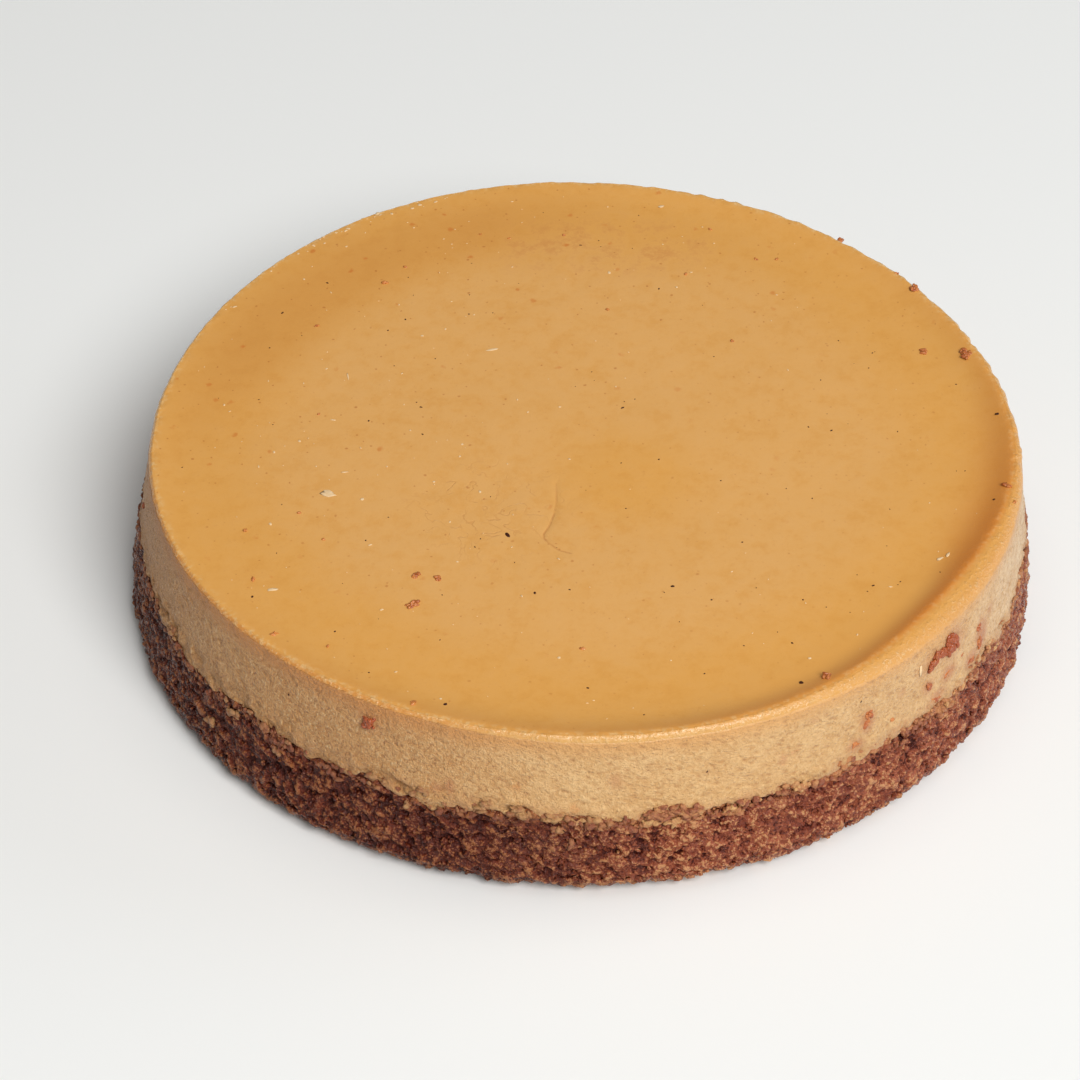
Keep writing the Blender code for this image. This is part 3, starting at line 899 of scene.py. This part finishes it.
rng = np.random.default_rng(7)
custard = np.array(CUSTARD_BITS)
bit_angle = rng.uniform(0.0, 2.0 * math.pi, SEAM_BIT_COUNT)
crowded = 0.5 + 0.5 * swell(rings_of(110.0, 0.0, bit_angle), 9.0, 110)
bit_drop = rng.normal(0.5, 0.8, SEAM_BIT_COUNT) + rng.uniform(0.0, 4.0, SEAM_BIT_COUNT) * crowded**3
bit_brown = np.clip(0.62 + 0.14 * bit_drop + rng.normal(0.0, 0.2, SEAM_BIT_COUNT), 0.0, 1.0)
bit_length = 0.8 + 1.7 * rng.random(SEAM_BIT_COUNT) ** 2 * (0.4 + crowded)
angle = np.append(np.radians(custard[:, 0]), bit_angle)
height = np.append(custard[:, 1], seam_height(1.0, bit_angle) - bit_drop)
length = np.append(custard[:, 2], bit_length)
width = np.append(custard[:, 3], bit_length * rng.uniform(0.45, 0.9, SEAM_BIT_COUNT))
brown = np.append(custard[:, 4], bit_brown)
counts = np.clip(np.round(length * width * LUMPS_TO_AREA), 2, 60).astype(int)
centres, normals = cake_side(angle, height, 0.02 + 0.07 * width)
turned = rng.normal(0.0, 0.35, len(angle))
thickness = np.full(len(angle), BIT_THICKNESS)
owner, centres, axes, sizes = clusters(centres, normals, turned, length, width, counts, thickness, rng)
seam_bits = lumpy_balls("seam_bits", centres, axes, sizes, 0.55, 7, 4, 120)
paint(seam_bits, "brown", np.clip(brown[owner] + rng.normal(0.0, 0.16, len(owner)), 0.0, 1.0))

bits_material, shader, place = new_material("baked_together")
brown = place.stored("brown") + place.noise(0.9, 3.0, 0.7) * 1.3 - 0.60
layered(
    CUSTARD_COLOUR,
    (brown.rise(0.0, 0.6), BAKED_COLOUR),
    (brown.rise(0.5, 1.0), BROWN_COLOUR),
    # painted shade: darker on the front left, away from the lamp
    (left_side(place.axis(0), place.axis(1), 0.45, 0.85) * 0.45, SHADED_LEFT_BROWN_COLOUR),
).into(shader, "Base Color")
(0.25 + 0.35 * place.noise(0.8)).into(shader, "Roughness")
(place.noise(0.7, 3.0, 0.7) * 0.75).bump(shader)
seam_bits.data.materials.append(bits_material)
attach(seam_bits, "root")


# --- Stray crumbs on the flan ------------------------------------------------------------------
# Crumbs of the sponge that dropped on the flan's top, or were smeared on its side as the cake
# came out of the tin. They have soaked up caramel, so they are redder than the sponge and shine.

TOP_CRUMBS = (
    # East, north, length and width.
    (-39.1, -60.0, 3.6, 2.4), (-38.6, -50.0, 2.7, 2.0), (-33.8, -51.1, 2.2, 1.4), (95.7, 31.3, 4.4, 3.4),
    (85.5, 34.1, 2.6, 2.2), (67.7, 80.1, 2.6, 1.8), (100.2, -19.7, 2.6, 1.6), (53.8, -85.3, 2.6, 1.4),
    (-38.0, -93.4, 1.6, 1.2), (-0.7, -74.1, 1.3, 1.0), (-49.6, 60.6, 1.3, 0.9), (34.1, 84.6, 1.1, 0.9),
    (-25.6, 81.6, 1.0, 0.7), (-4.1, 81.3, 1.0, 0.8), (-44.6, 67.3, 1.0, 0.7), (7.0, 50.1, 1.0, 0.8),
    (38.0, 37.7, 0.9, 0.8), (27.3, 65.3, 1.4, 0.9), (-66.0, 42.4, 1.0, 0.8), (-78.9, -35.4, 1.0, 0.8),
    (-75.9, -52.3, 1.7, 0.9), (-66.6, -28.7, 1.1, 0.8), (-60.6, -38.0, 0.8, 0.7), (-69.9, -70.9, 1.8, 0.7),
    (-57.7, -74.4, 0.8, 0.6), (85.0, 57.5, 3.6, 2.2), (-18.1, 80.1, 0.8, 0.7), (45.5, 72.0, 0.9, 0.7),
    (50.8, 71.8, 0.8, 0.6), (-64.0, 7.7, 0.9, 0.8), (101.4, -26.0, 1.6, 0.8), (81.0, 64.0, 1.2, 0.9),
)
SIDE_CRUMBS = (
    # Angle in degrees, height, length round the side and height across it, the lumps'
    # thickness as a share of their size, and how brown.
    (243.0, 38.5, 3.6, 3.8, 0.9, 0.8), (317.8, 36.3, 6.8, 3.0, 0.7, 0.9),
    (321.4, 36.8, 6.0, 6.8, 0.75, 1.0), (319.6, 36.5, 4.0, 3.0, 0.7, 0.9),
    (306.5, 32.8, 2.4, 3.4, 0.42, 0.55), (306.0, 30.9, 1.6, 1.8, 0.42, 0.45),
    (304.3, 26.5, 3.2, 1.7, 0.38, 0.4),
    (316.7, 30.0, 2.2, 2.2, 0.46, 0.6), (320.6, 29.2, 3.4, 1.6, 0.3, 0.3),
    (328.0, 32.6, 1.5, 1.5, 0.66, 0.6), (328.2, 28.4, 2.2, 4.2, 0.42, 0.5),
    (318.2, 25.0, 4.2, 2.0, 0.42, 0.5), (294.0, 30.6, 0.9, 2.2, 0.23, 0.1),
    (253.7, 27.4, 0.9, 2.4, 0.23, 0.1), (310.2, 28.0, 1.6, 1.2, 0.38, 0.3),
    (326.0, 25.8, 3.2, 1.8, 0.38, 0.5), (324.0, 30.4, 1.2, 1.0, 0.47, 0.4),
    (30.0, 33.0, 2.6, 2.2, 0.66, 0.8), (83.0, 29.0, 3.2, 2.4, 0.47, 0.6),
    (118.0, 36.0, 1.8, 1.8, 0.85, 0.7), (151.0, 27.0, 3.6, 2.0, 0.47, 0.5),
    (187.0, 32.0, 1.6, 1.4, 0.76, 0.7),
)
FINE_LUMP_AREA = 0.45        # square millimetres of a crumb for each lump
TOP_CRUMB_THICKNESS = 0.55   # as a share of a lump's mean width
LONG_CRUMB = 1.9             # longer crumbs on the top are browner than the others
PALE_SOAKED_COLOUR = (0.66, 0.235, 0.055)
DARK_SOAKED_COLOUR = (0.36, 0.078, 0.020)


def on_flan(x, y, side_points, side_normals):
    """Points of the flan's top above (x, y), with upright normals, then points on its side."""
    top_points = np.stack([x, y, flan_top(x, y)], axis=-1)
    normals = np.concatenate([np.tile([0.0, 0.0, 1.0], (len(x), 1)), side_normals])
    return np.concatenate([top_points, side_points]), normals


rng = np.random.default_rng(23)
strewn = np.array(TOP_CRUMBS)
smeared = np.array(SIDE_CRUMBS)
side_angle = np.radians(smeared[:, 0])
# The browner a smeared crumb is, the prouder it stands.
side_radii = side_radius(smeared[:, 1], side_angle) + 0.6 * (smeared[:, 5] - 0.65)
side_points = rings_of(side_radii, smeared[:, 1], side_angle)
side_normals = rings_of(np.cos(wall_tilt), np.sin(wall_tilt), side_angle)
centres, normals = on_flan(strewn[:, 0], strewn[:, 1], side_points, side_normals)
turned = np.append(rng.uniform(0.0, math.pi, len(strewn)), rng.normal(0.0, 0.2, len(smeared)))
length = np.append(strewn[:, 2], smeared[:, 2])
width = np.append(strewn[:, 3], smeared[:, 3])
brown = np.append(np.where(strewn[:, 2] > LONG_CRUMB, 0.42, 0.15), smeared[:, 5])
counts = np.clip(np.round(length * width / FINE_LUMP_AREA), 3, 60).astype(int)
thickness = np.append(np.full(len(strewn), TOP_CRUMB_THICKNESS), smeared[:, 4])
owner, centres, axes, sizes = clusters(centres, normals, turned, length, width, counts, thickness, rng)
stray = lumpy_balls("stray_crumbs", centres, axes, sizes, 0.4, 8, 4, 130)
paint(stray, "brown", brown[owner] + rng.normal(0.0, 0.1, len(owner)))

stray_material, shader, place = new_material("caramel_soaked_crumb", {"Specular IOR Level": 0.55})
brown = place.stored("brown") + place.noise(0.8, 3.0, 0.7) * 1.1 - 0.50
soaked = brown.rise(0.0, 0.9).colours(PALE_SOAKED_COLOUR, DARK_SOAKED_COLOUR)
soaked.into(shader, "Base Color")
(0.05 + 0.40 * place.noise(0.8)).into(shader, "Roughness")
(place.noise(0.7, 3.0, 0.6) * 0.42).bump(shader)
stray.data.materials.append(stray_material)
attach(stray, "root")


# --- Dark specks on the flan -------------------------------------------------------------------
# Flakes of burnt sugar and vanilla that sank to the tin's floor and so lie in the flan's skin.
# Each is a thin flat flake, pressed almost level with the surface.

DARK_SPECKS = (
    # East, north and length.
    (-17.6, -36.0, 2.1), (20.4, -53.4, 1.2), (66.5, -52.4, 0.9), (-11.3, -55.9, 0.9), (-75.8, -58.3, 0.9),
    (10.1, 11.1, 0.9), (101.2, 7.7, 1.4), (48.0, -86.0, 1.3), (-56.4, -69.4, 0.8), (-38.4, 0.3, 0.8),
    (-39.1, 10.7, 0.8), (18.4, -8.3, 0.7), (60.5, 3.1, 0.8), (46.8, -71.9, 0.7), (26.6, -82.1, 0.7),
    (0.5, -86.9, 0.7), (-31.0, -93.3, 0.9), (-3.3, -54.8, 0.5), (29.1, -57.9, 0.6), (35.8, -72.9, 0.5),
    (-25.2, -40.3, 0.6), (20.2, 59.0, 0.8), (-64.3, 60.3, 0.8), (-75.0, 47.6, 0.9), (0.4, 77.2, 0.8),
    (-51.6, 5.4, 0.7), (-40.2, 12.6, 0.5), (37.0, -37.8, 0.5), (54.3, -21.9, 0.6), (50.0, -57.5, 0.6),
    (97.0, -24.0, 0.8), (65.0, -54.5, 0.5), (-28.0, 48.0, 0.5), (-44.0, 45.5, 0.6), (76.5, 3.0, 0.5),
)
SIDE_SPECKS = (
    # Angle in degrees, height and length.
    (305.3, 37.9, 0.9), (284.5, 32.6, 0.7), (231.0, 35.5, 0.6), (40.0, 36.0, 0.7),
)
SMALL_SPECK_COUNT = 70
SPECK_REACH = 97.0           # how far from the middle the small ones are strewn
SPECK_THICKNESS = 0.12
BURNT_COLOUR = (0.024, 0.006, 0.003)
VANILLA_COLOUR = (0.085, 0.021, 0.007)

rng = np.random.default_rng(31)
named = np.array(DARK_SPECKS)
far = SPECK_REACH * np.sqrt(rng.random(SMALL_SPECK_COUNT))
bearing = rng.uniform(0.0, 2.0 * math.pi, SMALL_SPECK_COUNT)
x = np.append(named[:, 0], far * np.cos(bearing))
y = np.append(named[:, 1], far * np.sin(bearing))
length = np.append(named[:, 2], rng.uniform(0.26, 0.50, SMALL_SPECK_COUNT))
on_wall = np.array(SIDE_SPECKS)
wall_angle = np.radians(on_wall[:, 0])
wall_radii = side_radius(on_wall[:, 1], wall_angle)
wall_points = rings_of(wall_radii, on_wall[:, 1], wall_angle)
centres, normals = on_flan(x, y, wall_points, rings_of(1.0, 0.0, wall_angle))
length = np.append(length, on_wall[:, 2])
axes = axes_at(normals, rng.uniform(0.0, math.pi, len(centres)))
half_width = length * rng.uniform(0.25, 0.42, len(length))
sizes = np.stack([length / 2.0, half_width, np.full(len(length), SPECK_THICKNESS)], axis=-1)
specks = lumpy_balls("dark_specks", centres, axes, sizes, 0.5, 7, 4, 140)

specks_material, shader, place = new_material("burnt_sugar", {"Specular IOR Level": 0.25})
place.noise(0.4).colours(BURNT_COLOUR, VANILLA_COLOUR).into(shader, "Base Color")
(0.3 + 0.3 * place.noise(0.5)).into(shader, "Roughness")
specks.data.materials.append(specks_material)
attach(specks, "root")


# --- Milk bits on the flan ---------------------------------------------------------------------
# Pale flecks of set milk solids in the skin, a few of them half the size of a rice grain, the rest
# mere dots, most of them on the left and along the rim at the back left. They lie flat.

MILK_FLAKES = (
    # East, north, length and width, and the turn in degrees.
    (-60.6, -21.6, 3.7, 2.4, 150.0), (-59.4, -22.2, 2.2, 1.6, 30.0), (82.6, -43.6, 2.4, 1.0, 20.0),
    (84.6, -42.4, 1.8, 0.8, 60.0), (-71.2, -55.6, 2.6, 1.0, 10.0), (-22.1, 33.7, 3.6, 0.9, 15.0),
    (-57.4, 22.4, 2.8, 0.4, 100.0), (-52.1, -23.5, 1.4, 0.9, 70.0), (-60.2, 5.6, 1.6, 0.5, 170.0),
    (-56.6, -13.8, 1.6, 0.4, 5.0), (-49.6, -39.8, 1.2, 0.5, 20.0), (7.6, 65.6, 1.2, 0.9, 90.0),
    (21.7, 94.4, 1.8, 1.0, 20.0), (-39.6, 39.0, 0.9, 0.7, 0.0), (-29.2, -45.4, 0.6, 0.4, 0.0),
    (-5.8, -44.2, 0.9, 0.4, 140.0), (-46.0, -62.0, 0.9, 0.5, 20.0), (70.4, -52.8, 1.0, 0.4, 175.0),
)
MILK_DOT_COUNT = 170
MILK_DOT_REACH = 99.0        # how far from the middle the dots are strewn
RIM_FLECK_COUNT = 36
MILK_THICKNESS = 0.10
SLIVER_ANGLE = math.radians(315.2)  # one long bit stands on the side
SLIVER_HEIGHT = 36.3
SLIVER_LENGTH = 3.4
SLIVER_WIDTH = 0.9
SLIVER_TURN = math.radians(80)
SLIVER_OUT = 0.15
CREAM_COLOUR = (0.75, 0.47, 0.21)
PALE_MILK_COLOUR = (0.80, 0.61, 0.38)

rng = np.random.default_rng(47)
flakes = np.array(MILK_FLAKES)
dot_radius = MILK_DOT_REACH * np.sqrt(rng.random(MILK_DOT_COUNT))
dot_angle = math.pi + rng.normal(0.0, 1.45, MILK_DOT_COUNT)
fleck_angle = np.radians(rng.uniform(108.0, 152.0, RIM_FLECK_COUNT))
fleck_radius = crest_radius(fleck_angle) + rng.uniform(-2.2, 0.9, RIM_FLECK_COUNT)
far = np.append(dot_radius, fleck_radius)
bearing = np.append(dot_angle, fleck_angle)
x = np.append(flakes[:, 0], far * np.cos(bearing))
y = np.append(flakes[:, 1], far * np.sin(bearing))
dots = 0.33 + 0.60 * rng.random(MILK_DOT_COUNT) ** 3
flecks = 0.45 + 1.1 * rng.random(RIM_FLECK_COUNT) ** 2
strewn = np.append(dots, flecks)
length = np.append(flakes[:, 2], strewn)
width = np.append(flakes[:, 3], strewn * rng.uniform(0.4, 0.8, len(strewn)))
named_turns = np.radians(flakes[:, 4]) + math.pi / 2.0
turned = np.append(named_turns, bearing + rng.normal(0.0, 0.5, len(strewn)))
sliver = cake_side(np.array([SLIVER_ANGLE]), np.array([SLIVER_HEIGHT]), SLIVER_OUT)
centres, normals = on_flan(x, y, *sliver)
length = np.append(length, SLIVER_LENGTH)
width = np.append(width, SLIVER_WIDTH)
axes = axes_at(normals, np.append(turned, SLIVER_TURN))
sizes = np.stack([length / 2.0, width / 2.0, np.full(len(length), MILK_THICKNESS)], axis=-1)
milk = lumpy_balls("milk_bits", centres, axes, sizes, 0.6, 8, 4, 150)

milk_material, shader, place = new_material("milk_solids")
place.noise(0.8).colours(CREAM_COLOUR, PALE_MILK_COLOUR).into(shader, "Base Color")
(0.3 + 0.3 * place.noise(0.6)).into(shader, "Roughness")
milk.data.materials.append(milk_material)
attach(milk, "root")


# --- Floor, light and camera -------------------------------------------------------------------
# A plain pale table, a large soft lamp at the front right, and a little light from all round. The
# camera looks down on the cake from the front.

FLOOR_REACH = 3000.0
LAMP_DISTANCE = 2.6          # lamps and camera in metres
LAMP_AZIMUTH = math.radians(297)
LAMP_ELEVATION = math.radians(46)
LENS = 111.1                 # mm, on a sensor 36 mm wide
CAMERA_PLACE = (-0.0101, -0.6218, 0.5542)
CAMERA_TILT = math.radians(48.8)
ROOM_COLOUR = (1.0, 0.99, 0.965, 1.0)
PALE_BLUE = (0.84, 0.93, 1.0)


def round_lamp(name, width, watts, place, tilt=0.0, turn=0.0, colour=(1.0, 1.0, 1.0)):
    """Round lamp at a place, facing down, tilted up from there and then turned round +Z."""
    light = bpy.data.lights.new(name, "AREA")
    light.shape = "DISK"
    light.size = width
    light.energy = watts
    light.color = colour
    lamp = bpy.data.objects.new(name, light)
    lamp.location = place
    lamp.rotation_euler = (tilt, 0.0, turn)
    bpy.context.scene.collection.objects.link(lamp)


corners = np.array([[-1.0, -1.0, 0.0], [1.0, -1.0, 0.0], [1.0, 1.0, 0.0], [-1.0, 1.0, 0.0]])
floor = mesh_piece("floor", FLOOR_REACH * corners, np.array([[0, 1, 2], [0, 2, 3]]))
table = {"Base Color": (0.86, 0.86, 0.84, 1.0), "Roughness": 0.8}
floor.data.materials.append(new_material("table", table)[0])

aside = LAMP_DISTANCE * math.cos(LAMP_ELEVATION)
lamp_place = (
    aside * math.cos(LAMP_AZIMUTH),
    aside * math.sin(LAMP_AZIMUTH),
    LAMP_DISTANCE * math.sin(LAMP_ELEVATION),
)
round_lamp("soft_lamp", 1.5, 64.5, lamp_place, math.pi / 2.0 - LAMP_ELEVATION, LAMP_AZIMUTH + math.pi / 2.0)
round_lamp("overhead", 2.4, 11.0, (0.3, 0.0, 2.4))
round_lamp("side_fill", 1.4, 9.0, (1.9, 0.5, 0.8), math.radians(68), math.radians(105), PALE_BLUE)

world = bpy.data.worlds.new("room")
world.use_nodes = True
room = world.node_tree.nodes["Background"]
room.inputs["Color"].default_value = ROOM_COLOUR
room.inputs["Strength"].default_value = 0.15
bpy.context.scene.world = world
bpy.context.scene.view_settings.view_transform = "Standard"

camera_data = bpy.data.cameras.new("camera")
camera_data.lens = LENS
camera_data.sensor_width = 36.0
camera = bpy.data.objects.new("camera", camera_data)
camera.location = CAMERA_PLACE
camera.rotation_euler = (CAMERA_TILT, 0.0, 0.0)
bpy.context.scene.collection.objects.link(camera)
bpy.context.scene.camera = camera
